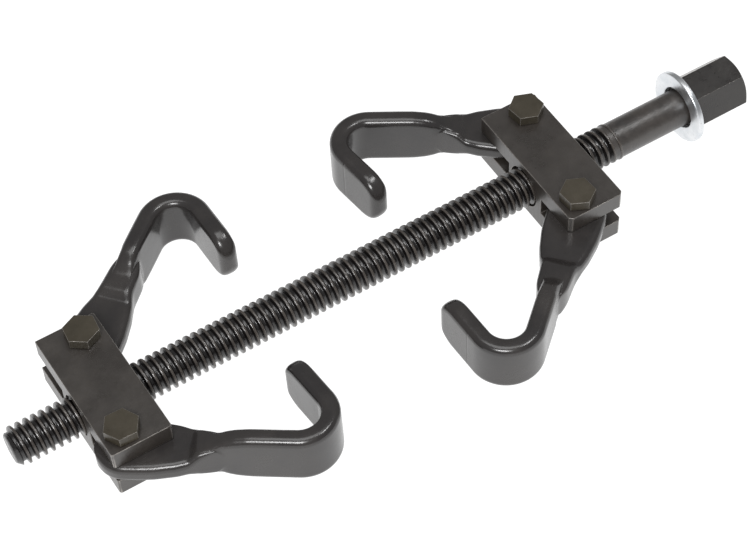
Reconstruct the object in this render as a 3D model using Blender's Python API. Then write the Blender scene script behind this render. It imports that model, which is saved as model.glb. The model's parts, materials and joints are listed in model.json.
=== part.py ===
"""Coil spring compressor: a lead screw with two yokes, each carrying two pivoting hooks.

Frame: the origin is the centre of the flat end of the hexagonal drive head. +X runs along the
screw and out of the drive head, +Z runs along the pivot bolts of the lower yoke.
"""

import math

import bmesh
import bpy
from mathutils import Matrix, Vector

MM = 0.001

# Lead screw
SCREW_LENGTH = 407.6 * MM
DRIVE_LENGTH = 30.6 * MM
DRIVE_ACROSS_FLATS = 26.0 * MM
DRIVE_TURN = math.radians(10.0)
DRIVE_CHAMFER = 2.0 * MM
DRIVE_END_SCALE = 0.9
SHANK_RADIUS = 9.5 * MM
SHANK_START = -78.8 * MM
PITCH = 4.0 * MM
CREST_RADIUS = 10.0 * MM
ROOT_RADIUS = 7.9 * MM
CREST_WIDTH = 1.45 * MM
ROOT_WIDTH = 1.15 * MM
SIDES = 12
THREAD_START = -403.6 * MM
THREAD_END = -79.6 * MM
TIP_RADIUS = 6.9 * MM

# Thrust washer
WASHER_OUTER = 19.0 * MM
WASHER_INNER = 10.9 * MM
WASHER_THICKNESS = 3.0 * MM
FACE_GAP = 0.3 * MM

# Yokes
YOKE_WIDTH = 30.8 * MM
YOKE_LENGTH = 77.5 * MM
YOKE_HEIGHT = 30.0 * MM
YOKE_OFFSET = -1.1 * MM
SLOT_HEIGHT = 10.2 * MM
BOSS_HALF_WIDTH = 14.0 * MM
LOWER_YOKE_X = -358.4 * MM
UPPER_YOKE_X = -111.3 * MM
UPPER_YOKE_ROLL = math.radians(1.95)
LOWER_BORE = 10.4 * MM
UPPER_BORE = 10.9 * MM
LOWER_CORNER = 0.8 * MM
UPPER_CORNER = 1.6 * MM
PIVOT_X = 4.8 * MM
PIVOT_Y = 29.2 * MM

# Pivot bolts
BOLT_RADIUS = 5.0 * MM
BOLT_HOLE = 5.3 * MM
BOLT_ACROSS_FLATS = 15.5 * MM
BOLT_HEAD_HEIGHT = 5.2 * MM
BOLT_HEAD_SCALE = 0.98
BOLT_HEAD_CHAMFER = 0.3 * MM
BOLT_RECESS = 0.6 * MM

# Hooks
EYE_RADIUS = 14.5 * MM
EYE_HALF_HEIGHT = 4.8 * MM
EYE_EDGE = 3.4 * MM
STRIP_HALF_WIDTH = 14.5 * MM
STRIP_HALF_THICKNESS = 4.75 * MM
STRIP_EDGE = 3.5 * MM
ARM_LENGTH = 78.2 * MM
BEND_RADIUS = 14.25 * MM
BEND_ANGLE = math.radians(129.5)
BEND_STEPS = 12
TIP_LENGTH = 29.0 * MM
TIP_CORNER = 12.0 * MM
TIP_EDGE = 4.5 * MM
CORNER_POINTS = 3

# Along the arm from the pivot: distance, half width in plan, half height, edge radius
EYE_STATIONS = (
    (14.0, 14.1, 4.8, 3.4),
    (24.0, 12.4, 4.8, 3.4),
)
LONG_NECK = (
    (31.2, 10.4, 4.8, 3.4),
    (34.8, 9.1, 7.3, 4.2),
    (44.0, 8.0, 7.8, 4.2),
    (47.5, 7.6, 8.8, 4.0),
    (50.5, 6.6, 11.0, 3.8),
    (53.5, 5.4, 13.2, 3.6),
    (57.0, 4.85, 14.1, 3.5),
    (62.0, 4.75, 14.5, 3.5),
)
SHORT_NECK = (
    (29.6, 10.6, 4.8, 3.4),
    (33.0, 8.9, 7.4, 4.2),
    (35.5, 7.7, 7.9, 4.0),
    (38.5, 6.6, 8.8, 3.8),
    (41.5, 5.4, 10.2, 3.6),
    (45.0, 4.85, 12.1, 3.5),
    (50.0, 4.75, 13.6, 3.5),
    (56.0, 4.75, 14.4, 3.5),
    (62.0, 4.75, 14.5, 3.5),
)

# Node name part, side (+1 rear, -1 front), arm direction, side it curls to, bolt head turn, neck
LOWER_HOOKS = (
    ("rear", 1, 39.7, -1, 23.8, LONG_NECK),
    ("front", -1, -35.3, 1, 57.9, SHORT_NECK),
)
UPPER_HOOKS = (
    ("rear", 1, 147.6, 1, 37.9, SHORT_NECK),
    ("front", -1, -138.7, -1, 34.1, LONG_NECK),
)

MATERIALS = {
    "oiled_black": ((0.030, 0.028, 0.026), 0.36, 0.85),
    "black_oxide": ((0.070, 0.062, 0.055), 0.50, 0.70),
    "bolt_black": ((0.075, 0.066, 0.050), 0.48, 0.70),
    "dipped_black": ((0.032, 0.031, 0.031), 0.30, 0.20),
    "zinc": ((0.62, 0.63, 0.64), 0.32, 1.00),
}


def clear_scene():
    for obj in list(bpy.data.objects):
        bpy.data.objects.remove(obj, do_unlink=True)


def material(name):
    found = bpy.data.materials.get(name)
    if found:
        return found
    colour, roughness, metallic = MATERIALS[name]
    made = bpy.data.materials.new(name)
    made.use_nodes = True
    shader = made.node_tree.nodes["Principled BSDF"]
    shader.inputs["Base Color"].default_value = (*colour, 1.0)
    shader.inputs["Roughness"].default_value = roughness
    shader.inputs["Metallic"].default_value = metallic
    return made


def add_object(name, bm, material_name=None, smooth_angle=None):
    """Turn a bmesh into a named object with outward faces."""
    bmesh.ops.recalc_face_normals(bm, faces=bm.faces)
    mesh = bpy.data.meshes.new(name)
    bm.to_mesh(mesh)
    bm.free()
    if smooth_angle is not None:
        mesh.shade_smooth()
        mesh.set_sharp_from_angle(angle=math.radians(smooth_angle))
    obj = bpy.data.objects.new(name, mesh)
    bpy.context.scene.collection.objects.link(obj)
    if material_name:
        mesh.materials.append(material(material_name))
    return obj


def add_empty(name, matrix):
    empty = bpy.data.objects.new(name, None)
    empty.matrix_world = matrix
    bpy.context.scene.collection.objects.link(empty)
    return empty


def cut(target, cutter):
    """Take a hidden cutter out of a piece."""
    cutter.hide_render = True
    cutter.display_type = "WIRE"
    cutter.parent = target.parent
    modifier = target.modifiers.new(cutter.name, "BOOLEAN")
    modifier.operation = "DIFFERENCE"
    modifier.solver = "EXACT"
    modifier.object = cutter


def ring(bm, x, radius, angles):
    """A ring of points about the X axis."""
    return [bm.verts.new((x, radius * math.cos(a), radius * math.sin(a))) for a in angles]


def bridge(bm, first, second):
    """Close the band between two rings of the same number of points."""
    count = len(first)
    for i in range(count):
        j = (i + 1) % count
        bm.faces.new((first[i], first[j], second[j], second[i]))


def circle_angles(count, start=0.0):
    return [start + math.tau * i / count for i in range(count)]


def thread_rows(bm, rows):
    """Points of a helical ridge: root, crest, crest and root for each step of the turn."""
    run = (PITCH - CREST_WIDTH - ROOT_WIDTH) / 2
    offsets = (0.0, run, run + CREST_WIDTH, 2 * run + CREST_WIDTH)
    made = []
    for i in range(rows + 1):
        angle = math.tau * i / SIDES
        start = THREAD_START + PITCH * i / SIDES
        fade = min(1.0, i / SIDES, (rows - i) / SIDES)
        crest = ROOT_RADIUS + (CREST_RADIUS - ROOT_RADIUS) * fade
        radii = (ROOT_RADIUS, crest, crest, ROOT_RADIUS)
        row = []
        for offset, radius in zip(offsets, radii):
            row.append(bm.verts.new((start + offset, radius * math.cos(angle), radius * math.sin(angle))))
        made.append(row)
    return made


def thread_surface(bm, points):
    """Join the helical rows into one surface, each turn meeting the next."""
    rows = len(points) - 1
    for i in range(rows):
        for m in range(3):
            bm.faces.new((points[i][m], points[i + 1][m], points[i + 1][m + 1], points[i][m + 1]))
        if i + 1 + SIDES <= rows:
            bm.faces.new((points[i][3], points[i + 1][3], points[i + 1 + SIDES][0], points[i + SIDES][0]))


def thread_start_ring(bm, points):
    """A flat ring at the first point of the helix, and the band up to the first turn."""
    angles = circle_angles(SIDES)
    others = ring(bm, THREAD_START, ROOT_RADIUS, angles[1:])
    flat = [points[0][0]] + others
    for i in range(1, SIDES - 1):
        bm.faces.new((flat[i], flat[i + 1], points[i + 1][0], points[i][0]))
    bm.faces.new((flat[0], flat[1], points[1][0]))
    seam = [points[0][0], points[0][1], points[0][2], points[0][3], points[SIDES][0]]
    bm.faces.new([flat[-1]] + seam + [points[SIDES - 1][0]])
    return flat


def thread_end_ring(bm, points):
    """A flat ring at the last point of the helix, and the band down to the last turn."""
    rows = len(points) - 1
    end_x = points[rows][3].co.x
    first = rows - SIDES
    others = ring(bm, end_x, ROOT_RADIUS, [math.tau * (first + k) / SIDES for k in range(1, SIDES)])
    last = points[rows][3]
    for k in range(1, SIDES - 1):
        bm.faces.new((points[first + k][3], points[first + k + 1][3], others[k], others[k - 1]))
    bm.faces.new((points[rows - 1][3], last, others[-1]))
    seam = [last, points[rows][2], points[rows][1], points[rows][0]]
    bm.faces.new([points[first][3], points[first + 1][3], others[0]] + seam)
    return [last] + others, math.tau * rows / SIDES


def hexagon_ring(bm, x, across_flats, turn):
    radius = across_flats / math.sqrt(3)
    return ring(bm, x, radius, [turn + math.tau * k / 6 for k in range(6)])


def drive_head(bm, shank, turn):
    """The hexagonal head: each of its corners meets every second point of the shank's ring."""
    base = hexagon_ring(bm, -DRIVE_LENGTH, DRIVE_ACROSS_FLATS, turn)
    for k in range(6):
        following = (k + 1) % 6
        bm.faces.new((shank[2 * k], shank[2 * k + 1], shank[(2 * k + 2) % SIDES], base[following], base[k]))
    shoulder = hexagon_ring(bm, -DRIVE_CHAMFER, DRIVE_ACROSS_FLATS, turn)
    end = hexagon_ring(bm, 0.0, DRIVE_ACROSS_FLATS * DRIVE_END_SCALE, turn)
    bridge(bm, base, shoulder)
    bridge(bm, shoulder, end)
    bm.faces.new(end)


def make_lead_screw():
    bm = bmesh.new()
    turn_room = THREAD_END - THREAD_START - PITCH
    rows = int(turn_room / PITCH * SIDES)
    points = thread_rows(bm, rows)
    thread_surface(bm, points)
    start = thread_start_ring(bm, points)
    tip = ring(bm, -SCREW_LENGTH, TIP_RADIUS, circle_angles(SIDES))
    bridge(bm, tip, start)
    bm.faces.new(tip)
    end, end_angle = thread_end_ring(bm, points)
    angles = circle_angles(SIDES, end_angle)
    shank_start = ring(bm, SHANK_START, SHANK_RADIUS, angles)
    shank_end = ring(bm, -DRIVE_LENGTH, SHANK_RADIUS, angles)
    bridge(bm, end, shank_start)
    bridge(bm, shank_start, shank_end)
    drive_head(bm, shank_end, end_angle)
    bmesh.ops.rotate(bm, verts=bm.verts, matrix=Matrix.Rotation(DRIVE_TURN - end_angle, 3, "X"))
    add_object("lead_screw", bm, "oiled_black")


def make_thrust_washer():
    bm = bmesh.new()
    front = -DRIVE_LENGTH - FACE_GAP
    back = front - WASHER_THICKNESS
    angles = circle_angles(48)
    loops = (
        ring(bm, front, WASHER_INNER, angles),
        ring(bm, front, WASHER_OUTER, angles),
        ring(bm, back, WASHER_OUTER, angles),
        ring(bm, back, WASHER_INNER, angles),
    )
    for i in range(4):
        bridge(bm, loops[i], loops[(i + 1) % 4])
    add_object("thrust_washer", bm, "zinc", smooth_angle=40)


def box(size, centre):
    bm = bmesh.new()
    bmesh.ops.create_cube(bm, size=1.0)
    bmesh.ops.scale(bm, vec=size, verts=bm.verts)
    bmesh.ops.translate(bm, vec=centre, verts=bm.verts)
    return bm


def rod(radius, length, axis, centre, sides):
    bm = bmesh.new()
    bmesh.ops.create_cone(bm, cap_ends=True, segments=sides, radius1=radius, radius2=radius, depth=length)
    if axis == "X":
        bmesh.ops.rotate(bm, verts=bm.verts, matrix=Matrix.Rotation(math.pi / 2, 3, "Y"))
    bmesh.ops.translate(bm, vec=centre, verts=bm.verts)
    return bm


def place(bm, frame):
    bmesh.ops.transform(bm, matrix=frame, verts=bm.verts)
    return bm


def upright_edges(bm):
    return [e for e in bm.edges if abs((e.verts[0].co - e.verts[1].co).z) > YOKE_HEIGHT / 2]


def make_yoke(name, screw_frame, frame, bore, corner):
    """A block with a fork slot in each end, a bore along the screw and two bolt holes."""
    bm = box((YOKE_WIDTH, YOKE_LENGTH, YOKE_HEIGHT), (0, 0, 0))
    bmesh.ops.bevel(bm, geom=upright_edges(bm), offset=corner, segments=1, affect="EDGES")
    yoke = add_object(name, place(bm, frame), "black_oxide")
    reach = YOKE_LENGTH / 2
    for side, sign in (("rear", 1), ("front", -1)):
        middle = sign * (BOSS_HALF_WIDTH + reach / 2)
        slot = box((YOKE_WIDTH * 1.5, reach, SLOT_HEIGHT), (0, middle, 0))
        cut(yoke, add_object(name + "_slot_" + side, place(slot, frame)))
        pivot = (sign * PIVOT_X, sign * PIVOT_Y, 0)
        hole = rod(BOLT_HOLE, YOKE_HEIGHT * 1.5, "Z", pivot, 24)
        cut(yoke, add_object(name + "_hole_" + side, place(hole, frame)))
    screw_bore = rod(bore, YOKE_WIDTH * 1.5, "X", (0, 0, 0), 32)
    cut(yoke, add_object(name + "_bore", place(screw_bore, screw_frame)))


def section_outline(half_width, half_height, edge):
    """A rounded rectangle as (across, up) pairs."""
    edge = min(edge, 0.98 * half_width, 0.98 * half_height)
    points = []
    for quarter in range(4):
        sx = (1, -1, -1, 1)[quarter]
        sz = (1, 1, -1, -1)[quarter]
        centre = (sx * (half_width - edge), sz * (half_height - edge))
        for k in range(CORNER_POINTS):
            angle = (quarter + k / (CORNER_POINTS - 1)) * math.pi / 2
            points.append((centre[0] + edge * math.cos(angle), centre[1] + edge * math.sin(angle)))
    return points


def arm_stations(neck):
    """The round end of the eye, the flat eye, then the neck up to the plain strip."""
    stations = []
    for degrees in (12, 30, 50, 70, 90):
        angle = math.radians(degrees)
        half_width = EYE_RADIUS * math.sin(angle)
        stations.append((-EYE_RADIUS * math.cos(angle), half_width, EYE_HALF_HEIGHT, EYE_EDGE))
    for distance, half_width, half_height, edge in EYE_STATIONS + neck:
        stations.append((distance * MM, half_width * MM, half_height * MM, edge * MM))
    return stations


def tip_shrink(left):
    """Half height and half thickness at a distance from the very end of the tip."""
    height = STRIP_HALF_WIDTH
    if left < TIP_CORNER:
        height += math.sqrt(TIP_CORNER**2 - (TIP_CORNER - left) ** 2) - TIP_CORNER
    thickness = STRIP_HALF_THICKNESS
    if left < TIP_EDGE:
        thickness += math.sqrt(TIP_EDGE**2 - (TIP_EDGE - left) ** 2) - TIP_EDGE
    return height, thickness


def hook_sections(neck):
    """Every cross section: its centre, the direction it faces and its outline."""
    sections = []
    for distance, half_width, half_height, edge in arm_stations(neck):
        outline = section_outline(half_width, half_height, edge)
        sections.append((Vector((distance, 0)), 0.0, outline))
    plain = section_outline(STRIP_HALF_THICKNESS, STRIP_HALF_WIDTH, STRIP_EDGE)
    for k in range(BEND_STEPS + 1):
        angle = BEND_ANGLE * k / BEND_STEPS
        across = BEND_RADIUS * (1 - math.cos(angle))
        sections.append((Vector((ARM_LENGTH + BEND_RADIUS * math.sin(angle), across)), angle, plain))
    end = sections[-1][0]
    ahead = Vector((math.cos(BEND_ANGLE), math.sin(BEND_ANGLE)))
    for left in (TIP_CORNER, 0.6 * TIP_CORNER, TIP_EDGE, 0.5 * TIP_EDGE, 0.15 * TIP_EDGE, 0.0):
        height, thickness = tip_shrink(left)
        outline = section_outline(thickness, height, min(STRIP_EDGE, 0.9 * thickness))
        sections.append((end + ahead * (TIP_LENGTH - left), BEND_ANGLE, outline))
    return sections


def hook_bmesh(curl, neck):
    """Loft the sections into one closed body; curl is the side that the strip bends to."""
    bm = bmesh.new()
    loops = []
    for centre, facing, outline in hook_sections(neck):
        across = Vector((-math.sin(facing), math.cos(facing)))
        loop = []
        for out, up in outline:
            spot = centre + across * out
            loop.append(bm.verts.new((spot.x, spot.y * curl, up)))
        loops.append(loop)
    for first, second in zip(loops, loops[1:]):
        bridge(bm, first, second)
    bm.faces.new(loops[0])
    bm.faces.new(loops[-1])
    return bm


def make_hook(name, pivot, direction, curl, neck):
    """A hook whose origin is on its pivot bolt's axis, through its parent empty."""
    axis = add_empty(name + "_pivot", pivot @ Matrix.Rotation(math.radians(direction), 4, "Z"))
    hook = add_object(name, hook_bmesh(curl, neck), "dipped_black", smooth_angle=40)
    hook.parent = axis
    eye = add_object(name + "_eye_bore", rod(BOLT_HOLE, 30 * MM, "Z", (0, 0, 0), 24))
    cut(hook, eye)


def make_bolt(name, pivot, turn):
    """A hexagon head on a plain shank that ends just inside the lower plate."""
    bm = bmesh.new()
    seat = YOKE_HEIGHT / 2 + FACE_GAP
    shank = circle_angles(24)
    foot = -YOKE_HEIGHT / 2 + BOLT_RECESS
    loops = [
        [bm.verts.new((BOLT_RADIUS * math.cos(a), BOLT_RADIUS * math.sin(a), foot)) for a in shank],
        [bm.verts.new((BOLT_RADIUS * math.cos(a), BOLT_RADIUS * math.sin(a), seat)) for a in shank],
    ]
    bridge(bm, loops[0], loops[1])
    bm.faces.new(loops[0])
    radius = BOLT_ACROSS_FLATS / math.sqrt(3)
    levels = (
        (seat, radius),
        (seat + BOLT_HEAD_HEIGHT - BOLT_HEAD_CHAMFER, radius),
        (seat + BOLT_HEAD_HEIGHT, radius * BOLT_HEAD_SCALE),
    )
    rings = []
    for height, reach in levels:
        corners = [math.tau * k / 6 for k in range(6)]
        rings.append([bm.verts.new((reach * math.cos(a), reach * math.sin(a), height)) for a in corners])
    for k in range(6):
        inner = [loops[1][(4 * k + step) % 24] for step in range(5)]
        bm.faces.new(inner + [rings[0][(k + 1) % 6], rings[0][k]])
    bridge(bm, rings[0], rings[1])
    bridge(bm, rings[1], rings[2])
    bm.faces.new(rings[2])
    frame = pivot @ Matrix.Rotation(math.radians(turn), 4, "Z")
    add_object(name, place(bm, frame), "bolt_black")


def make_end(name, x, roll, bore, corner, hooks):
    """One yoke with its two hooks and their bolts; the block's middle lies beside the screw's axis."""
    screw_frame = Matrix.Translation((x, 0, 0)) @ Matrix.Rotation(roll, 4, "X")
    frame = screw_frame @ Matrix.Translation((0, YOKE_OFFSET, 0))
    make_yoke(name + "_yoke", screw_frame, frame, bore, corner)
    for side, sign, direction, curl, turn, neck in hooks:
        pivot = frame @ Matrix.Translation((sign * PIVOT_X, sign * PIVOT_Y, 0))
        make_hook(name + "_hook_" + side, pivot, direction, curl, neck)
        make_bolt(name + "_bolt_" + side, pivot, turn)


def main():
    clear_scene()
    make_lead_screw()
    make_thrust_washer()
    make_end("lower", LOWER_YOKE_X, 0.0, LOWER_BORE, LOWER_CORNER, LOWER_HOOKS)
    make_end("upper", UPPER_YOKE_X, UPPER_YOKE_ROLL, UPPER_BORE, UPPER_CORNER, UPPER_HOOKS)


main()
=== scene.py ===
"""Coil spring compressor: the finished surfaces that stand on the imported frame."""
import json
import math

import bmesh
import bpy
import numpy as np
from mathutils import Matrix, Vector, noise


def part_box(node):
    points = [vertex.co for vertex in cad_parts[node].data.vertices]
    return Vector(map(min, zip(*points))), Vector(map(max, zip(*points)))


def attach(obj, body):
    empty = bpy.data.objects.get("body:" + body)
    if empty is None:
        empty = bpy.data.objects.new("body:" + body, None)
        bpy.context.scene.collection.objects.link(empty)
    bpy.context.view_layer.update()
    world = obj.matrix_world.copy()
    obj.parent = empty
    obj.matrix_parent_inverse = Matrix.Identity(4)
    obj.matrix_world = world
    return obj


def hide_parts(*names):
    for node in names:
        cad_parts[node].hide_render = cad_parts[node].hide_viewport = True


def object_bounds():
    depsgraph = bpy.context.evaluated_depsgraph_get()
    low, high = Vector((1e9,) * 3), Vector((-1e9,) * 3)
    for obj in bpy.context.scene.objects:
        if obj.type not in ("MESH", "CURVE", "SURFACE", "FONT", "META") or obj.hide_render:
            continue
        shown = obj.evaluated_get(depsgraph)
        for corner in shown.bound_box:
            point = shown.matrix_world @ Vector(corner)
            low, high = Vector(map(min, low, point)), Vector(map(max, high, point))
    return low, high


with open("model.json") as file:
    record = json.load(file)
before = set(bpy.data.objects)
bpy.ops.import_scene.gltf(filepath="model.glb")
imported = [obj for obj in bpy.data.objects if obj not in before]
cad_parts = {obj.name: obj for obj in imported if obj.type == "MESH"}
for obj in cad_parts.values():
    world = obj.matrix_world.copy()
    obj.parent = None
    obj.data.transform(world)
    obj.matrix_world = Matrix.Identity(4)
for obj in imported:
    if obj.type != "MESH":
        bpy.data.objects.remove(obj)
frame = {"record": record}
cad_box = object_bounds()

MM = 0.001

# Lead screw
PITCH = 4.0 * MM
CREST_RADIUS = 10.0 * MM
ROOT_RADIUS = 7.75 * MM
THREAD_SIDES = 64
THREAD_PROFILE = 14
THREAD_PHASE = math.radians(215.0)
FIRST_CREST = -357.8 * MM
THREAD_MERGE = 0.02 * MM
TIP_RADIUS = 7.2 * MM
TIP_SLOPE = 0.9
SHANK_RADIUS = 9.5 * MM
SHANK_START = -79.0 * MM
SHANK_CORNER = 0.25 * MM
SHANK_FILLET = 0.6 * MM
SHANK_CORE = 7.0 * MM
SHANK_RINGS = 40
DRIVE_LENGTH = 30.6 * MM
DRIVE_ACROSS_FLATS = 26.0 * MM
DRIVE_TURN = math.radians(10.0)
DRIVE_CHAMFER = math.radians(30.0)
DRIVE_EDGE = 0.3 * MM

# The ridge across one pitch: share of the pitch, share of the thread's depth
THREAD_RIDGE = (
    (0.15, 0.0), (0.23, 0.10), (0.33, 0.86), (0.39, 0.985), (0.5, 1.0),
    (0.61, 0.985), (0.67, 0.86), (0.77, 0.10), (0.85, 0.0),
)

# Thrust washer: its bore, and the rounding of its domed and its sheared side
WASHER_BORE = 11.0 * MM
WASHER_DOME = 0.9 * MM
WASHER_SHEAR = 0.5 * MM

# Yokes
SLOT_HEIGHT = 10.2 * MM
BOSS_HALF_WIDTH = 14.0 * MM
YOKE_SIZE = Vector((30.8, 77.5, 30.0)) * MM
YOKE_OFFSET = -1.1 * MM
UPPER_YOKE_ROLL = math.radians(1.95)
EDGE_BREAK = 0.35 * MM
# Bore radius, cut of the upright corners, and cut of the one at the rear towards the tip
YOKES = {
    "lower_yoke": (10.4 * MM, 0.8 * MM, 0.8 * MM),
    "upper_yoke": (10.9 * MM, 1.6 * MM, 3.4 * MM),
}

# Pivot bolts
BOLT_RADIUS = 5.0 * MM
BOLT_HOLE = 5.3 * MM
BOLT_ACROSS_FLATS = 15.5 * MM
BOLT_HEAD_HEIGHT = 5.2 * MM
BOLT_SHORT_OF_FACE = 0.6 * MM
BOLT_POINT = 0.4 * MM
BOLT_EDGE = 0.18 * MM
FACE_GAP = 0.3 * MM

# Hooks
EYE_RADIUS = 14.5 * MM
EYE_HALF_HEIGHT = 4.8 * MM
EYE_EDGE = 3.4 * MM
STRIP_HALF_WIDTH = 14.5 * MM
STRIP_HALF_THICKNESS = 4.75 * MM
STRIP_EDGE = 3.5 * MM
ARM_LENGTH = 78.2 * MM
BEND_RADIUS = 14.25 * MM
BEND_ANGLE = math.radians(129.5)
TIP_LENGTH = 29.0 * MM
TIP_CORNER = 12.0 * MM
TIP_EDGE = 4.5 * MM

# The flat eye along the arm from the pivot, in mm: distance, half width in plan, half height,
# edge radius, half height of the strip
EYE_STATIONS = (
    (0.0, 14.5, 4.8, 3.4, 0.0),
    (8.0, 14.45, 4.8, 3.4, 0.0),
    (14.0, 14.1, 4.8, 3.4, 0.0),
    (24.0, 12.4, 4.8, 3.4, 0.0),
)
# The two forgings: one keeps a long broad neck with blunt shoulders, the other draws in early
LONG_NECK = EYE_STATIONS + (
    (31.2, 10.4, 4.8, 3.4, 0.0),
    (32.6, 9.9, 5.8, 3.6, 0.0),
    (34.8, 9.1, 7.3, 4.2, 0.0),
    (37.5, 8.5, 7.6, 4.4, 7.6),
    (44.0, 8.0, 7.7, 4.2, 8.0),
    (47.5, 7.7, 7.8, 3.8, 9.6),
    (50.5, 6.9, 7.8, 2.4, 12.0),
    (53.5, 5.6, 7.6, 1.0, 13.5),
    (57.0, 4.85, 7.2, 0.5, 14.2),
    (62.0, 4.75, 7.0, 0.5, 14.5),
    (70.0, 4.75, 7.0, 0.5, 14.5),
)
SHORT_NECK = EYE_STATIONS + (
    (29.6, 10.6, 4.8, 3.4, 0.0),
    (31.0, 10.0, 5.8, 3.6, 0.0),
    (33.0, 8.9, 7.4, 4.2, 0.0),
    (35.5, 7.7, 7.8, 4.0, 8.0),
    (38.5, 6.6, 8.0, 2.4, 8.9),
    (41.5, 5.4, 8.0, 1.4, 10.2),
    (45.0, 4.85, 8.0, 0.5, 12.1),
    (50.0, 4.75, 7.5, 0.5, 13.6),
    (56.0, 4.75, 7.0, 0.5, 14.4),
    (62.0, 4.75, 7.0, 0.5, 14.5),
    (70.0, 4.75, 7.0, 0.5, 14.5),
)
# Where the neck's section starts to become the strip's, and where it has, in mm
LONG_BLEND = (52.5, 58.0)
SHORT_BLEND = (41.0, 47.0)
FIN_ROUNDNESS = 0.7
NECK_FOOT = 0.3 * MM
CREASE_DEPTH = 0.12 * MM
CREASE_HALF_WIDTH = 0.35 * MM
CREASE_FROM_BEND = 4.5 * MM
# Hammered unevenness: none by the pivot, all of it from where the eye ends
DENT_DEPTH = 0.07 * MM
DENTS_PER_METRE = 60
DENT_START = 16 * MM
DENT_RAMP = 10 * MM

# Arm direction in plan, side it curls to, bolt head turn, long neck
HOOKS = {
    "lower_hook_rear": (39.7, -1, 23.8, True),
    "lower_hook_front": (-35.3, 1, 57.9, False),
    "upper_hook_rear": (147.6, 1, 37.9, False),
    "upper_hook_front": (-138.7, -1, 34.1, True),
}

# Studio
CAMERA_PLACE = (-0.53938, -0.62015, 0.85757)
CAMERA_AIM = (-0.21639, -0.00663, 0.0)
CAMERA_ROLL = math.radians(-4.933)
CAMERA_LENS = 110.75
SKY_STRENGTH = 0.26
FLOOR_SIZE = 4.0
FLOOR_GAP = 0.2 * MM
TOOL_MIDDLE = (-0.2, 0.0, 0.0)
# Place, aim, size in metres, power in watts
LIGHTS = {
    "front_softbox": ((-0.85, -0.80, 1.10), TOOL_MIDDLE, (0.62, 0.36), 14.0),
    "overhead_softbox": ((0.42, -0.26, 1.50), (-0.05, 0.0, 0.0), (0.55, 0.22), 5.0),
    "ceiling": ((-0.2, 0.1, 2.2), TOOL_MIDDLE, (1.2, 1.2), 12.0),
}


# ---------------------------------------------------------------- frame places

def joint(name):
    found = [j for j in frame["record"]["behaviour"]["joints"] if j["name"] == name]
    return found[0]


def yoke_frame(yoke):
    """The yoke's own frame: the middle of its block, beside the screw's axis, and its roll about it."""
    low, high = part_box(yoke)
    roll = UPPER_YOKE_ROLL if yoke == "upper_yoke" else 0.0
    turned_frame = Matrix.Translation(((low[0] + high[0]) / 2, 0, 0)) @ Matrix.Rotation(roll, 4, "X")
    return turned_frame @ Matrix.Translation((0, YOKE_OFFSET, 0))


def pivot_frame(hook):
    """A frame on a hook's pivot: its origin on the bolt's axis, +Z along the bolt."""
    place = Vector(joint(hook + "_pivot")["pos_m"])
    turned = yoke_frame(hook.split("_")[0] + "_yoke").to_3x3().to_4x4()
    return Matrix.Translation(place) @ turned


# ---------------------------------------------------------------- mesh helpers

def new_piece(name, bm, smooth=40):
    """Turn a bmesh into an object at the origin, with outward faces."""
    bmesh.ops.recalc_face_normals(bm, faces=bm.faces)
    mesh = bpy.data.meshes.new(name)
    bm.to_mesh(mesh)
    bm.free()
    mesh.shade_smooth()
    mesh.set_sharp_from_angle(angle=math.radians(smooth))
    piece = bpy.data.objects.new(name, mesh)
    bpy.context.scene.collection.objects.link(piece)
    return piece


def settle(piece):
    """Replace a piece's mesh by what its modifiers make of it."""
    bpy.context.view_layer.update()
    evaluated = piece.evaluated_get(bpy.context.evaluated_depsgraph_get())
    piece.data = bpy.data.meshes.new_from_object(evaluated)
    piece.data.name = piece.name
    piece.modifiers.clear()
    return piece


def drop(piece):
    bpy.data.objects.remove(piece, do_unlink=True)


def carve(piece, cutters, operation="DIFFERENCE"):
    """Boolean each cutter into a piece and throw the cutters away."""
    for cutter in cutters:
        modifier = piece.modifiers.new("carve", "BOOLEAN")
        modifier.operation = operation
        modifier.solver = "EXACT"
        modifier.object = cutter
    settle(piece)
    for cutter in cutters:
        drop(cutter)
    return piece


def break_edges(piece, width, segments=3, angle=32):
    """Round a piece's sharp edges, and mark the rounded faces for wear."""
    flat_normals = [tuple(round(c, 3) for c in f.normal) for f in piece.data.polygons]
    known = set(flat_normals)
    modifier = piece.modifiers.new("edge", "BEVEL")
    modifier.width = width
    modifier.segments = segments
    modifier.limit_method = "ANGLE"
    modifier.angle_limit = math.radians(angle)
    modifier.harden_normals = True
    settle(piece)
    mesh = piece.data
    worn = mesh.attributes.new("edge_wear", "FLOAT", "CORNER")
    for face in mesh.polygons:
        key = tuple(round(c, 3) for c in face.normal)
        value = 0.0 if key in known else 1.0
        for corner in face.loop_indices:
            worn.data[corner].value = value
    return piece


def ring(bm, x, radius, angles):
    return [bm.verts.new((x, radius * math.cos(a), radius * math.sin(a))) for a in angles]


def bridge(bm, first, second):
    count = len(first)
    for i in range(count):
        j = (i + 1) % count
        bm.faces.new((first[i], first[j], second[j], second[i]))


def circle(count, start=0.0):
    return [start + math.tau * i / count for i in range(count)]


def turned(name, profile, sides=96, closed=False, smooth=30):
    """A solid turned about X from (x, radius) points; closed joins the last point to the first."""
    bm = bmesh.new()
    loops = [ring(bm, x, radius, circle(sides)) for x, radius in profile]
    for first, second in zip(loops, loops[1:]):
        bridge(bm, first, second)
    if closed:
        bridge(bm, loops[-1], loops[0])
    else:
        bm.faces.new(loops[0])
        bm.faces.new(loops[-1])
    return new_piece(name, bm, smooth)


def upright_rod(name, radius, low, high, sides=96):
    bm = bmesh.new()
    rings = []
    for z in (low, high):
        rings.append([bm.verts.new((radius * math.cos(a), radius * math.sin(a), z)) for a in circle(sides)])
    bridge(bm, rings[0], rings[1])
    bm.faces.new(rings[0])
    bm.faces.new(rings[1])
    return new_piece(name, bm)


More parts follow.
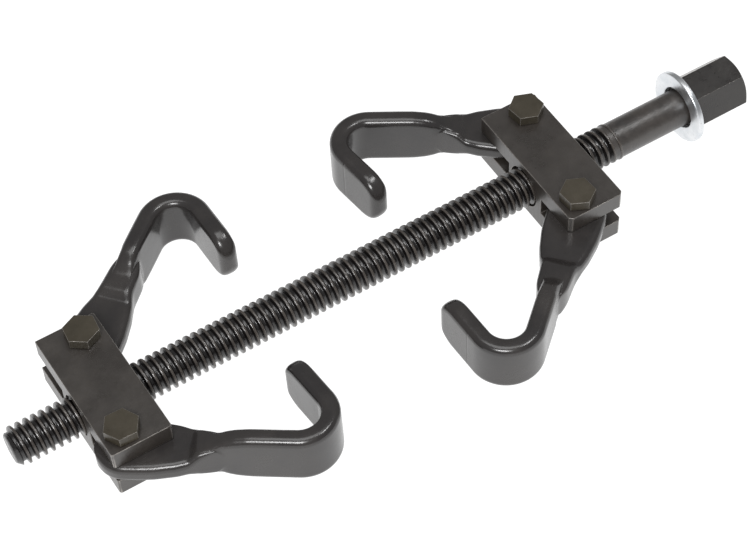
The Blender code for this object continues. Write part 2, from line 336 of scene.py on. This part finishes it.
def put(piece, matrix):
    """Bake a place into a piece's mesh."""
    piece.data.transform(matrix)
    piece.data.update()
    return piece


# ---------------------------------------------------------------- lead screw

def float_socket(tree, name, value):
    made = tree.interface.new_socket(name, in_out="INPUT", socket_type="NodeSocketFloat")
    made.default_value = value
    return made


def thread_tree():
    """Node tree for a helical ridge: a long grid rolled round the screw, one pitch wide."""
    tree = bpy.data.node_groups.new("rolled_thread", "GeometryNodeTree")
    tree.interface.new_socket("Geometry", in_out="INPUT", socket_type="NodeSocketGeometry")
    names = ("Pitch", "Turns", "Start", "Phase", "Root Radius", "Crest Radius", "Tip X", "Tip Radius",
             "Run-out X", "Shank Radius")
    for name in names:
        float_socket(tree, name, 0.0)
    for name in ("Steps", "Profile Points"):
        tree.interface.new_socket(name, in_out="INPUT", socket_type="NodeSocketInt")
    tree.interface.new_socket("Material", in_out="INPUT", socket_type="NodeSocketMaterial")
    tree.interface.new_socket("Geometry", in_out="OUTPUT", socket_type="NodeSocketGeometry")
    nodes, links = tree.nodes, tree.links
    given = nodes.new("NodeGroupInput").outputs

    def feed(socket, value):
        if isinstance(value, (int, float)):
            socket.default_value = value
        else:
            links.new(value, socket)

    def sum_of(operation, first, second=0.0, third=0.0):
        node = nodes.new("ShaderNodeMath")
        node.operation = operation
        for socket, value in zip(node.inputs, (first, second, third)):
            feed(socket, value)
        return node.outputs[0]

    grid = nodes.new("GeometryNodeMeshGrid")
    feed(grid.inputs["Size X"], 1.0)
    feed(grid.inputs["Size Y"], 1.0)
    feed(grid.inputs["Vertices X"], given["Profile Points"])
    feed(grid.inputs["Vertices Y"], given["Steps"])
    where = nodes.new("ShaderNodeSeparateXYZ")
    links.new(nodes.new("GeometryNodeInputPosition").outputs[0], where.inputs[0])
    across = sum_of("ADD", where.outputs["X"], 0.5)
    along = sum_of("ADD", where.outputs["Y"], 0.5)
    turns = sum_of("MULTIPLY", along, given["Turns"])
    angle = sum_of("MULTIPLY_ADD", turns, math.tau, given["Phase"])
    advance = sum_of("ADD", turns, across)
    place = sum_of("MULTIPLY_ADD", advance, given["Pitch"], given["Start"])
    shape = nodes.new("ShaderNodeFloatCurve")
    links.new(across, shape.inputs["Value"])
    curve = shape.mapping.curves[0]
    curve.points[0].location = (0.0, 0.0)
    curve.points[1].location = (1.0, 0.0)
    for share, height in THREAD_RIDGE:
        curve.points.new(share, height)
    shape.mapping.update()
    depth = sum_of("SUBTRACT", given["Crest Radius"], given["Root Radius"])
    radius = sum_of("MULTIPLY_ADD", shape.outputs[0], depth, given["Root Radius"])
    past_run_out = sum_of("SUBTRACT", place, given["Run-out X"])
    run_out = sum_of("MINIMUM", sum_of("ADD", past_run_out, given["Shank Radius"]), given["Shank Radius"])
    radius = sum_of("MAXIMUM", radius, run_out)
    past_tip = sum_of("SUBTRACT", place, given["Tip X"])
    cone = sum_of("MULTIPLY_ADD", past_tip, TIP_SLOPE, given["Tip Radius"])
    radius = sum_of("MINIMUM", radius, cone)
    radius = sum_of("MAXIMUM", radius, MM)
    spot = nodes.new("ShaderNodeCombineXYZ")
    links.new(place, spot.inputs["X"])
    links.new(sum_of("MULTIPLY", radius, sum_of("COSINE", angle)), spot.inputs["Y"])
    links.new(sum_of("MULTIPLY", radius, sum_of("SINE", angle)), spot.inputs["Z"])
    roll = nodes.new("GeometryNodeSetPosition")
    links.new(grid.outputs["Mesh"], roll.inputs["Geometry"])
    links.new(spot.outputs[0], roll.inputs["Position"])
    join = nodes.new("GeometryNodeMergeByDistance")
    links.new(roll.outputs[0], join.inputs["Geometry"])
    feed(join.inputs["Distance"], THREAD_MERGE)
    real = nodes.new("GeometryNodeRealizeInstances")
    links.new(join.outputs[0], real.inputs[0])
    finish = nodes.new("GeometryNodeSetMaterial")
    links.new(real.outputs[0], finish.inputs["Geometry"])
    links.new(given["Material"], finish.inputs["Material"])
    out = nodes.new("NodeGroupOutput")
    links.new(finish.outputs[0], out.inputs[0])
    return tree


def close_end(bm, x, outward):
    """Cut the thread square at x and cap it."""
    geometry = bm.verts[:] + bm.edges[:] + bm.faces[:]
    bmesh.ops.bisect_plane(
        bm, geom=geometry, dist=1e-7, plane_co=(x, 0, 0), plane_no=(outward, 0, 0), clear_outer=True
    )
    rim = [e for e in bm.edges if e.is_boundary and all(abs(v.co.x - x) < 1e-6 for v in e.verts)]
    bmesh.ops.edgeloop_fill(bm, edges=rim)


def make_thread(material):
    low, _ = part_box("lead_screw")
    tip = low[0]
    turns = (SHANK_START - tip) / PITCH + 4.0
    start = tip - 2.0 * PITCH
    offset = (start - FIRST_CREST) / PITCH % 1.0
    holder = bpy.data.objects.new("screw_thread", bpy.data.meshes.new("screw_thread"))
    bpy.context.scene.collection.objects.link(holder)
    modifier = holder.modifiers.new("thread", "NODES")
    tree = thread_tree()
    modifier.node_group = tree
    values = {
        "Pitch": PITCH,
        "Turns": turns,
        "Start": start,
        "Phase": THREAD_PHASE + math.tau * (offset - 0.5),
        "Root Radius": ROOT_RADIUS,
        "Crest Radius": CREST_RADIUS,
        "Tip X": tip,
        "Tip Radius": TIP_RADIUS,
        "Run-out X": SHANK_START,
        "Shank Radius": SHANK_RADIUS - 0.1 * MM,
        "Steps": int(turns * THREAD_SIDES) + 1,
        "Profile Points": THREAD_PROFILE + 1,
        "Material": material,
    }
    for item in tree.interface.items_tree:
        if item.name in values:
            modifier[item.identifier] = values[item.name]
    settle(holder)
    bm = bmesh.new()
    bm.from_mesh(holder.data)
    close_end(bm, tip, -1)
    close_end(bm, SHANK_START + 1.5 * PITCH, 1)
    bmesh.ops.recalc_face_normals(bm, faces=bm.faces)
    bm.to_mesh(holder.data)
    bm.free()
    holder.data.shade_smooth()
    holder.data.set_sharp_from_angle(angle=math.radians(50))
    return holder


def arc_points(centre, radius, start, end, count):
    """Points of an arc in a (x, radius) profile, angles in degrees."""
    made = []
    for k in range(count + 1):
        a = math.radians(start + (end - start) * k / count)
        made.append((centre[0] + radius * math.cos(a), centre[1] + radius * math.sin(a)))
    return made


def make_shank():
    """The plain shank, its shoulder over the thread's run-out, and a fillet under the head."""
    first = SHANK_START + SHANK_CORNER
    last = -DRIVE_LENGTH - SHANK_FILLET
    in_head = -DRIVE_LENGTH + 1.0 * MM
    profile = [(SHANK_START, SHANK_CORE), (SHANK_START, SHANK_RADIUS - SHANK_CORNER)]
    profile += [(first + (last - first) * k / SHANK_RINGS, SHANK_RADIUS) for k in range(SHANK_RINGS + 1)]
    profile += [(in_head, SHANK_RADIUS + SHANK_FILLET), (in_head, SHANK_CORE)]
    return turned("screw_shank", profile)


def hexagon_prism(name, across_flats, turn, x_low, x_high):
    bm = bmesh.new()
    radius = across_flats / math.sqrt(3)
    loops = [ring(bm, x, radius, circle(6, turn)) for x in (x_low, x_high)]
    bridge(bm, loops[0], loops[1])
    bm.faces.new(loops[0])
    bm.faces.new(loops[1])
    return new_piece(name, bm)


def make_drive_head():
    """A long hexagon whose outer end is turned down to a chamfer."""
    head = hexagon_prism("drive_head", DRIVE_ACROSS_FLATS, DRIVE_TURN, -DRIVE_LENGTH, 0.0)
    corner = DRIVE_ACROSS_FLATS / math.sqrt(3)
    land = DRIVE_ACROSS_FLATS / 2 - 0.5 * MM
    clear = corner + 1 * MM
    drop_back = (clear - land) * math.tan(DRIVE_CHAMFER)
    profile = [
        (-DRIVE_LENGTH - 1 * MM, corner - 2.6 * MM),
        (-DRIVE_LENGTH, corner - 0.5 * MM),
        (-DRIVE_LENGTH + 1.2 * MM, clear),
        (-drop_back, clear),
        (0.0, land),
        (1 * MM, land - 1.0 * MM),
    ]
    carve(head, [turned("head_chamfer", profile, sides=144)], "INTERSECT")
    return break_edges(head, DRIVE_EDGE, 2)


# ---------------------------------------------------------------- washer

def make_washer():
    low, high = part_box("thrust_washer")
    back, front = low[0], high[0]
    outer = high[1]
    dome, shear = WASHER_DOME, WASHER_SHEAR
    profile = arc_points((back + dome, outer - dome), dome, 180, 90, 6)
    profile += arc_points((front - shear, outer - shear), shear, 90, 0, 4)
    profile += arc_points((front - shear, WASHER_BORE + shear), shear, 0, -90, 4)
    profile += arc_points((back + dome, WASHER_BORE + dome), dome, -90, -180, 5)
    return turned("thrust_washer_disc", profile, sides=128, closed=True, smooth=50)


# ---------------------------------------------------------------- yokes

def yoke_outline():
    """The block seen along the screw: an H on its side, as (y, z) points."""
    half_length, half_height = YOKE_SIZE.y / 2, YOKE_SIZE.z / 2
    slot = SLOT_HEIGHT / 2
    right = [
        (half_length, -half_height),
        (half_length, -slot),
        (BOSS_HALF_WIDTH, -slot),
        (BOSS_HALF_WIDTH, slot),
        (half_length, slot),
        (half_length, half_height),
    ]
    return right + [(-y, -z) for y, z in right]


def make_yoke(node):
    """A block with a slot in each end, a bore for the screw and a hole for each pivot bolt."""
    bore, corner, rear_corner = YOKES[node]
    bm = bmesh.new()
    half = YOKE_SIZE.x / 2
    loops = [[bm.verts.new((x, y, z)) for y, z in yoke_outline()] for x in (-half, half)]
    bridge(bm, loops[0], loops[1])
    bm.faces.new(loops[0])
    bm.faces.new(loops[1])
    reach = YOKE_SIZE.y / 2 - 0.1 * MM
    upright = [e for e in bm.edges
               if min(abs(v.co.y) for v in e.verts) > reach and abs(e.verts[0].co.z - e.verts[1].co.z) > MM]
    cut_corner = [e for e in upright if e.verts[0].co.x < 0 and e.verts[0].co.y > 0]
    others = [e for e in upright if e not in cut_corner]
    bmesh.ops.bevel(bm, geom=others, offset=corner, segments=1, affect="EDGES")
    cut_corner = [e for e in cut_corner if e.is_valid]
    bmesh.ops.bevel(bm, geom=cut_corner, offset=max(corner, rear_corner), segments=1, affect="EDGES")
    yoke = new_piece(node + "_block", bm)
    cutters = [turned("bore", [(-YOKE_SIZE.x, bore), (YOKE_SIZE.x, bore)], sides=96)]
    put(cutters[0], Matrix.Translation((0, -YOKE_OFFSET, 0)))
    middle = yoke_frame(node).inverted()
    for side in ("rear", "front"):
        hook = node.split("_")[0] + "_hook_" + side
        pivot = middle @ Vector(joint(hook + "_pivot")["pos_m"])
        hole = upright_rod("hole", BOLT_HOLE, -20 * MM, 20 * MM, sides=64)
        cutters.append(put(hole, Matrix.Translation(pivot)))
    carve(yoke, cutters)
    break_edges(yoke, EDGE_BREAK, 3)
    return put(yoke, yoke_frame(node))


# ---------------------------------------------------------------- bolts

def make_bolt(hook):
    """A sharp flat hexagon head on a shank."""
    name = hook.replace("hook", "bolt")
    seat = YOKE_SIZE.z / 2 + FACE_GAP
    top = seat + BOLT_HEAD_HEIGHT
    head = hexagon_prism(name + "_head", BOLT_ACROSS_FLATS, math.pi / 2, seat, top)
    end = -YOKE_SIZE.z / 2 + BOLT_SHORT_OF_FACE
    profile = [(end, BOLT_RADIUS - BOLT_POINT), (end + BOLT_POINT, BOLT_RADIUS), (seat + 1 * MM, BOLT_RADIUS)]
    carve(head, [turned("shank", profile, sides=64)], "UNION")
    break_edges(head, BOLT_EDGE, 2)
    upright = Matrix.Rotation(-math.pi / 2, 4, "Y")
    turn = Matrix.Rotation(math.radians(HOOKS[hook][2]), 4, "Z")
    put(head, pivot_frame(hook) @ turn @ upright)
    return head


# ---------------------------------------------------------------- hooks

def spread(first, last, count):
    """Points from first towards last, leaving last out."""
    return [(first[0] + (last[0] - first[0]) * k / count, first[1] + (last[1] - first[1]) * k / count)
            for k in range(count)]


def corner(cx, cz, radius, count):
    """A quarter circle from straight up to straight across."""
    angles = [math.pi / 2 * (1 - k / count) for k in range(count + 1)]
    return [(cx + radius * math.cos(a), cz + radius * math.sin(a)) for a in angles]


def mirrored(quarter):
    """The whole outline from its upper right quarter, which runs from the top to the side."""
    lower = [(x, -z) for x, z in reversed(quarter)]
    right = quarter + lower
    return right + [(-x, z) for x, z in reversed(right)]


# How an outline's points are shared out over a quarter of the section
TOP_POINTS = 9
WALL_POINTS = 4
SHOULDER_POINTS = 3
CORNER_POINTS = 7
SIDE_POINTS = 3


def strip_quarter(half_width, half_height, edge):
    """Upper right quarter of the plain strip, with its points shared out as on the neck."""
    edge = min(edge, 0.97 * half_width, 0.97 * half_height)
    shoulder = (half_width - edge, half_height - edge)
    arc = corner(*shoulder, edge, TOP_POINTS - 2)
    start = arc[0][0] * 0.25
    points = [(start, half_height)] + arc
    down = WALL_POINTS + SHOULDER_POINTS + CORNER_POINTS + 1 + SIDE_POINTS
    reach = arc[-1][1]
    points += [(half_width, reach * (1 - k / (down + 0.5))) for k in range(1, down + 1)]
    return points


def neck_quarter(half_width, half_height, edge, rise):
    """Upper right quarter of the neck: a broad low block with the strip rising out of its middle."""
    foot = STRIP_HALF_THICKNESS + NECK_FOOT
    edge = max(NECK_FOOT, min(edge, half_width - foot))
    narrow = min(1.0, (half_width - edge) / foot)
    lift = max(0.0, rise - half_height)
    last = TOP_POINTS + WALL_POINTS - 1
    points = []
    for k in range(last + 1):
        a = math.radians(86.0 - 80.0 * k / last)
        across = STRIP_HALF_THICKNESS * math.cos(a) ** FIN_ROUNDNESS
        points.append((across * narrow, half_height + lift * math.sin(a) ** FIN_ROUNDNESS))
    points += spread(points[-1], (half_width - edge, half_height), SHOULDER_POINTS + 1)[1:]
    arc = corner(half_width - edge, half_height - edge, edge, CORNER_POINTS)
    points += arc
    reach = arc[-1][1]
    points += [(half_width, reach * (1 - k / (SIDE_POINTS + 0.5))) for k in range(1, SIDE_POINTS + 1)]
    return points


def section(half_width, half_height, edge, rise=0.0, strip=0.0, strip_height=STRIP_HALF_WIDTH):
    """A closed outline of (across, up) points; strip says how far the neck has become the strip."""
    edge = min(edge, 0.97 * half_width, 0.97 * half_height)
    neck = neck_quarter(half_width, half_height, edge, rise)
    plain = strip_quarter(min(half_width, STRIP_HALF_THICKNESS), strip_height, STRIP_EDGE)
    quarter = [(a[0] + (b[0] - a[0]) * strip, a[1] + (b[1] - a[1]) * strip) for a, b in zip(neck, plain)]
    return mirrored(quarter)


def plain_section(half_thickness, half_height, edge):
    return mirrored(strip_quarter(half_thickness, half_height, edge))


def smooth_stations(stations, step):
    """Arm stations joined by a smooth curve, every step millimetres."""
    table = np.array(stations)
    spots = np.arange(0.0, table[-1, 0] + 1e-6, step)
    kernel = np.array([1, 3, 4, 3, 1]) / 12.0
    columns = []
    for c in range(1, table.shape[1]):
        column = np.interp(spots, table[:, 0], table[:, c])
        padded = np.concatenate([column[:1], column[:1], column, column[-1:], column[-1:]])
        columns.append(np.convolve(padded, kernel, mode="valid"))
    return [tuple(value * MM for value in row) for row in zip(spots, *columns)]


def rounded_end(left, radius):
    """How far an end rounded to this radius has closed in, at a distance from its tip."""
    if left >= radius:
        return 0.0
    return radius - math.sqrt(max(radius**2 - (radius - left) ** 2, 0.0))


def hook_sections(long_neck, creased):
    """A hook's sections from eye to tip: the middle, the way it faces in plan, and the outline."""
    stations = LONG_NECK if long_neck else SHORT_NECK
    first, last = LONG_BLEND if long_neck else SHORT_BLEND
    made = []
    for k in range(1, 12):
        angle = math.radians(4 + 86 * k / 12)
        made.append((Vector((-EYE_RADIUS * math.cos(angle), 0)), 0.0,
                     section(EYE_RADIUS * math.sin(angle), EYE_HALF_HEIGHT, EYE_EDGE)))
    for distance, half_width, half_height, edge, rise in smooth_stations(stations, 0.8):
        strip = min(1.0, max(0.0, (distance / MM - first) / (last - first)))
        strip = strip * strip * (3 - 2 * strip)
        outline = section(half_width, half_height, edge, rise, strip, max(rise, half_height))
        made.append((Vector((distance, 0)), 0.0, outline))
    plain = plain_section(STRIP_HALF_THICKNESS, STRIP_HALF_WIDTH, STRIP_EDGE)
    neck_end = stations[-1][0] * MM
    for k in range(1, 4):
        made.append((Vector((neck_end + (ARM_LENGTH - neck_end) * k / 4, 0)), 0.0, plain))
    for k in range(37):
        angle = BEND_ANGLE * k / 36
        across = BEND_RADIUS * (1 - math.cos(angle))
        made.append((Vector((ARM_LENGTH + BEND_RADIUS * math.sin(angle), across)), angle, plain))
    end = made[-1][0]
    ahead = Vector((math.cos(BEND_ANGLE), math.sin(BEND_ANGLE)))
    lefts = list(np.linspace(TIP_LENGTH - 2 * MM, TIP_CORNER + 1 * MM, 9))
    lefts += [TIP_CORNER * (1 - math.sin(math.radians(a))) for a in range(0, 90, 6)] + [0.0]
    crease = TIP_LENGTH - CREASE_FROM_BEND
    if creased:
        lefts = sorted(lefts + [crease + CREASE_HALF_WIDTH, crease, crease - CREASE_HALF_WIDTH], reverse=True)
    for left in lefts:
        height = STRIP_HALF_WIDTH - rounded_end(left, TIP_CORNER)
        thickness = STRIP_HALF_THICKNESS - rounded_end(left, TIP_EDGE)
        if creased and left == crease:
            thickness -= CREASE_DEPTH
        made.append((end + ahead * (TIP_LENGTH - left), BEND_ANGLE,
                     plain_section(thickness, height, min(STRIP_EDGE, 0.92 * thickness))))
    return made


def make_hook(hook):
    """One forging: its sections joined up, dented a little, and bored for its bolt."""
    direction, curl, _, long_neck = HOOKS[hook]
    bm = bmesh.new()
    loops = []
    for centre, facing, outline in hook_sections(long_neck, hook.startswith("upper")):
        across = Vector((-math.sin(facing), math.cos(facing)))
        loop = []
        for out, up in outline:
            spot = centre + across * out
            loop.append(bm.verts.new((spot.x, spot.y * curl, up)))
        loops.append(loop)
    for first, second in zip(loops, loops[1:]):
        bridge(bm, first, second)
    bm.faces.new(loops[0])
    bm.faces.new(loops[-1])
    bmesh.ops.recalc_face_normals(bm, faces=bm.faces)
    seed = Vector((direction * 0.37, curl * 3.1, 0.0))
    for vert in bm.verts:
        away = min(1.0, max(0.0, (vert.co.to_2d().length - DENT_START) / DENT_RAMP))
        dent = noise.noise(vert.co * DENTS_PER_METRE + seed)
        vert.co += vert.normal * dent * DENT_DEPTH * away
    piece = new_piece(hook + "_forging", bm, 60)
    bore = upright_rod("eye_bore", BOLT_HOLE, -10 * MM, 10 * MM, sides=64)
    carve(piece, [bore])
    piece.data.shade_smooth()
    piece.data.set_sharp_from_angle(angle=math.radians(60))
    return put(piece, pivot_frame(hook) @ Matrix.Rotation(math.radians(direction), 4, "Z"))


# ---------------------------------------------------------------- materials

class Finish:
    """A Principled material with small helpers for its node tree."""

    def __init__(self, name):
        self.material = bpy.data.materials.new(name)
        self.material.use_nodes = True
        self.tree = self.material.node_tree
        self.shader = self.tree.nodes["Principled BSDF"]
        self.place = self.tree.nodes.new("ShaderNodeTexCoord").outputs["Object"]

    def node(self, kind, **inputs):
        made = self.tree.nodes.new(kind)
        for key, value in inputs.items():
            self.feed(made.inputs[key.replace("_", " ")], value)
        return made

    def feed(self, socket, value):
        if isinstance(value, bpy.types.NodeSocket):
            self.tree.links.new(value, socket)
        else:
            socket.default_value = value

    def stretched(self, scale):
        mapping = self.node("ShaderNodeMapping", Vector=self.place)
        mapping.inputs["Scale"].default_value = scale
        return mapping.outputs[0]

    def noise(self, scale, detail=4.0, roughness=0.6, vector=None):
        where = vector or self.place
        made = self.node("ShaderNodeTexNoise", Vector=where, Scale=scale, Detail=detail, Roughness=roughness)
        return made.outputs["Fac"]

    def from_screw_axis(self):
        """How far a point is from the screw's axis."""
        where = self.node("ShaderNodeSeparateXYZ", Vector=self.place)
        squares = [self.math("POWER", where.outputs[name], 2.0) for name in ("Y", "Z")]
        return self.math("SQRT", self.math("ADD", *squares))

    def range(self, value, low, high, to_low, to_high):
        made = self.tree.nodes.new("ShaderNodeMapRange")
        for socket, item in zip(made.inputs, (value, low, high, to_low, to_high)):
            self.feed(socket, item)
        return made.outputs["Result"]

    def math(self, operation, first, second=0.0):
        made = self.tree.nodes.new("ShaderNodeMath")
        made.operation = operation
        self.feed(made.inputs[0], first)
        self.feed(made.inputs[1], second)
        return made.outputs[0]

    def mix(self, factor, first, second):
        made = self.tree.nodes.new("ShaderNodeMix")
        made.data_type = "RGBA"
        self.feed(made.inputs[0], factor)
        self.feed(made.inputs[6], first)
        self.feed(made.inputs[7], second)
        return made.outputs[2]

    def bump(self, height, strength, distance, normal=None):
        made = self.node("ShaderNodeBump", Height=height, Strength=strength, Distance=distance)
        if normal:
            self.feed(made.inputs["Normal"], normal)
        return made.outputs[0]

    def edge_wear(self):
        attribute = self.tree.nodes.new("ShaderNodeAttribute")
        attribute.attribute_name = "edge_wear"
        return attribute.outputs["Fac"]

    def done(self, colour, roughness, normal, metallic=0.0, ior=1.5):
        self.feed(self.shader.inputs["Base Color"], colour)
        self.feed(self.shader.inputs["Roughness"], roughness)
        self.feed(self.shader.inputs["Normal"], normal)
        self.feed(self.shader.inputs["Metallic"], metallic)
        self.shader.inputs["IOR"].default_value = ior
        return self.material


def rgb(red, green, blue):
    return (red, green, blue, 1.0)


# Black oxide: its darker and lighter patches, and how strongly it reflects
DRIVE_OXIDE = (rgb(0.020, 0.018, 0.017), rgb(0.034, 0.031, 0.028), 1.55)
YOKE_OXIDE = (rgb(0.024, 0.020, 0.017), rgb(0.038, 0.032, 0.027), 1.75)
BOLT_OXIDE = (rgb(0.036, 0.030, 0.020), rgb(0.058, 0.049, 0.034), 1.5)
BARE_STEEL = rgb(0.30, 0.28, 0.26)
# The forgings' dip, the thread's near-black grooves of painted shade and its crests lighter with painted
# highlight and some rubbing, the shank's patches, and the zinc
DIP_DARK, DIP_LIGHT = rgb(0.022, 0.020, 0.020), rgb(0.036, 0.032, 0.030)
GROOVE_PAINTED_SHADE, CREST_HIGHLIGHT_AND_RUB = rgb(0.006, 0.005, 0.005), rgb(0.080, 0.069, 0.060)
SHANK_DARK, SHANK_LIGHT = rgb(0.022, 0.020, 0.019), rgb(0.056, 0.049, 0.044)
SHANK_BROWN = rgb(0.045, 0.036, 0.030)
ZINC_DULL, ZINC_BRIGHT, ZINC_SPECK = rgb(0.60, 0.63, 0.66), rgb(0.80, 0.81, 0.82), rgb(0.25, 0.24, 0.23)


def black_oxide(name, dark, light, ior):
    """Blackened steel: a fine satin grain, cloudy brown patches and bright rubbed edges."""
    f = Finish(name)
    cloud = f.noise(55.0, 5.0, 0.62)
    grain = f.noise(1500.0, 3.0, 0.7)
    speck = f.noise(420.0, 2.0, 0.5)
    colour = f.mix(f.range(cloud, 0.35, 0.68, 0.0, 1.0), dark, light)
    wear = f.math("MULTIPLY", f.edge_wear(), f.range(f.noise(260.0, 4.0, 0.7), 0.38, 0.62, 0.25, 1.0))
    colour = f.mix(wear, colour, BARE_STEEL)
    roughness = f.range(f.math("ADD", cloud, f.math("MULTIPLY", speck, 0.5)), 0.5, 1.0, 0.25, 0.38)
    streak = f.noise(1100.0, 3.0, 0.6, f.stretched((1.0, 1.0, 0.05)))
    normal = f.bump(grain, 0.14, 0.0002)
    normal = f.bump(streak, 0.16, 0.0003, normal)
    normal = f.bump(speck, 0.06, 0.0004, normal)
    return f.done(colour, roughness, normal, metallic=f.math("MULTIPLY", wear, 0.8), ior=ior)


def dipped_black():
    """A forging under a thick black dip: gloss with slow ripples."""
    f = Finish("dipped_black")
    ripple = f.noise(70.0, 2.0, 0.45)
    pores = f.noise(700.0, 3.0, 0.6)
    cloud = f.noise(38.0, 4.0, 0.6)
    colour = f.mix(f.range(cloud, 0.35, 0.7, 0.0, 1.0), DIP_DARK, DIP_LIGHT)
    roughness = f.range(f.math("ADD", cloud, f.math("MULTIPLY", pores, 0.35)), 0.45, 0.95, 0.17, 0.30)
    normal = f.bump(ripple, 0.10, 0.0012)
    normal = f.bump(pores, 0.12, 0.0002, normal)
    return f.done(colour, roughness, normal, ior=1.6)


def oiled_screw_painted_light():
    """Rolled thread in oiled black steel: crests lighter and browner with painted highlight and some rubbing,
    over grooves near-black with painted shade.
    """
    f = Finish("oiled_screw_painted_light")
    # The band out at the crests is lighter as painted highlight, partly from rubbing; the grooves below it
    # get near-black painted shade.
    crest_highlight_band = f.range(f.from_screw_axis(), 9.3 * MM, 9.98 * MM, 0.0, 1.0)
    cloud = f.noise(90.0, 4.0, 0.6)
    grain = f.noise(900.0, 3.0, 0.7, f.stretched((0.35, 1.0, 1.0)))
    rub_and_highlight = f.math("MULTIPLY", crest_highlight_band, f.range(cloud, 0.3, 0.7, 0.35, 1.0))
    colour = f.mix(rub_and_highlight, GROOVE_PAINTED_SHADE, CREST_HIGHLIGHT_AND_RUB)
    roughness = f.range(f.noise(480.0, 4.0, 0.65), 0.3, 0.7, 0.16, 0.34)
    normal = f.bump(grain, 0.25, 0.0003)
    return f.done(colour, roughness, normal, ior=1.62)


def shank_steel():
    """Turned and blackened shank: fine lathe lines round it, mottled with rubbed patches."""
    f = Finish("shank_steel")
    lathe = f.noise(650.0, 3.0, 0.6, f.stretched((2.2, 0.35, 0.35)))
    mottle = f.noise(150.0, 5.0, 0.7)
    cloud = f.noise(48.0, 3.0, 0.6)
    colour = f.mix(f.range(mottle, 0.35, 0.7, 0.0, 1.0), SHANK_DARK, SHANK_LIGHT)
    colour = f.mix(f.range(cloud, 0.45, 0.7, 0.0, 0.5), colour, SHANK_BROWN)
    roughness = f.range(mottle, 0.3, 0.7, 0.26, 0.44)
    normal = f.bump(lathe, 0.25, 0.0004)
    normal = f.bump(mottle, 0.40, 0.0006, normal)
    return f.done(colour, roughness, normal, ior=1.7)


def zinc_plate():
    """Bright zinc: faint rings from pressing and a soft cloudy tarnish."""
    f = Finish("zinc_plate")
    rings = f.node("ShaderNodeCombineXYZ", X=f.from_screw_axis())
    marks = f.noise(2600.0, 3.0, 0.7, rings.outputs[0])
    cloud = f.noise(120.0, 4.0, 0.6)
    speck = f.noise(900.0, 2.0, 0.6)
    colour = f.mix(f.range(cloud, 0.3, 0.7, 0.0, 1.0), ZINC_DULL, ZINC_BRIGHT)
    colour = f.mix(f.range(speck, 0.66, 0.74, 0.0, 0.5), colour, ZINC_SPECK)
    roughness = f.range(f.math("ADD", cloud, marks), 0.6, 1.4, 0.24, 0.42)
    normal = f.bump(marks, 0.16, 0.0003)
    return f.done(colour, roughness, normal, metallic=1.0)


# ---------------------------------------------------------------- assembly

def wear(piece, material, slot, body, *nodes):
    """Give a piece its material and its body, and hide the solids that it stands for."""
    piece.data.materials.clear()
    piece.data.materials.append(material)
    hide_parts(*nodes)
    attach(piece, body)


def build():
    thread = oiled_screw_painted_light()
    wear(make_thread(thread), thread, "screw_steel", "lead_screw", "lead_screw")
    wear(make_shank(), shank_steel(), "screw_steel", "lead_screw", "lead_screw")
    drive = black_oxide("drive_oxide", *DRIVE_OXIDE)
    wear(make_drive_head(), drive, "screw_steel", "lead_screw", "lead_screw")
    wear(make_washer(), zinc_plate(), "zinc_plate", "thrust_washer", "thrust_washer")
    oxide = black_oxide("yoke_oxide", *YOKE_OXIDE)
    for yoke in YOKES:
        wear(make_yoke(yoke), oxide, "yoke_steel", yoke, yoke)
    bolt = black_oxide("bolt_oxide", *BOLT_OXIDE)
    dip = dipped_black()
    for hook in HOOKS:
        yoke = hook.split("_")[0] + "_yoke"
        wear(make_hook(hook), dip, "hook_steel", hook, hook)
        wear(make_bolt(hook), bolt, "bolt_steel", yoke, hook.replace("hook", "bolt"))


# ---------------------------------------------------------------- studio

def make_floor():
    low, high = cad_box
    bm = bmesh.new()
    bmesh.ops.create_grid(bm, x_segments=1, y_segments=1, size=FLOOR_SIZE)
    floor = new_piece("studio_floor", bm)
    put(floor, Matrix.Translation(((low[0] + high[0]) / 2, 0, low[2] - FLOOR_GAP)))
    f = Finish("studio_white")
    f.done(rgb(0.20, 0.20, 0.20), 0.9, f.bump(f.noise(300.0), 0.02, 0.0005))
    f.shader.inputs["Specular IOR Level"].default_value = 0.1
    f.shader.inputs["Emission Color"].default_value = rgb(1.0, 1.0, 1.0)
    f.shader.inputs["Emission Strength"].default_value = 1.0
    floor.data.materials.append(f.material)


def add_light(name, place, aim, size, power):
    data = bpy.data.lights.new(name, "AREA")
    data.shape = "RECTANGLE"
    data.size, data.size_y = size
    data.energy = power
    light = bpy.data.objects.new(name, data)
    light.location = place
    light.rotation_euler = (Vector(aim) - Vector(place)).to_track_quat("-Z", "Y").to_euler()
    bpy.context.scene.collection.objects.link(light)


def make_studio():
    world = bpy.data.worlds.new("studio")
    world.use_nodes = True
    world.node_tree.nodes["Background"].inputs["Color"].default_value = rgb(1.0, 1.0, 1.0)
    world.node_tree.nodes["Background"].inputs["Strength"].default_value = SKY_STRENGTH
    bpy.context.scene.world = world
    for name, settings in LIGHTS.items():
        add_light(name, *settings)
    bpy.context.scene.view_settings.view_transform = "Standard"


def make_camera():
    data = bpy.data.cameras.new("camera")
    data.lens = CAMERA_LENS
    data.sensor_width = 36.0
    data.clip_start = 0.01
    camera = bpy.data.objects.new("camera", data)
    place = Vector(CAMERA_PLACE)
    facing = (Vector(CAMERA_AIM) - place).to_track_quat("-Z", "Y").to_matrix().to_4x4()
    turn = facing @ Matrix.Rotation(CAMERA_ROLL, 4, "Z")
    camera.matrix_world = Matrix.Translation(place) @ turn
    bpy.context.scene.collection.objects.link(camera)
    bpy.context.scene.camera = camera


make_camera()
make_studio()
build()
make_floor()
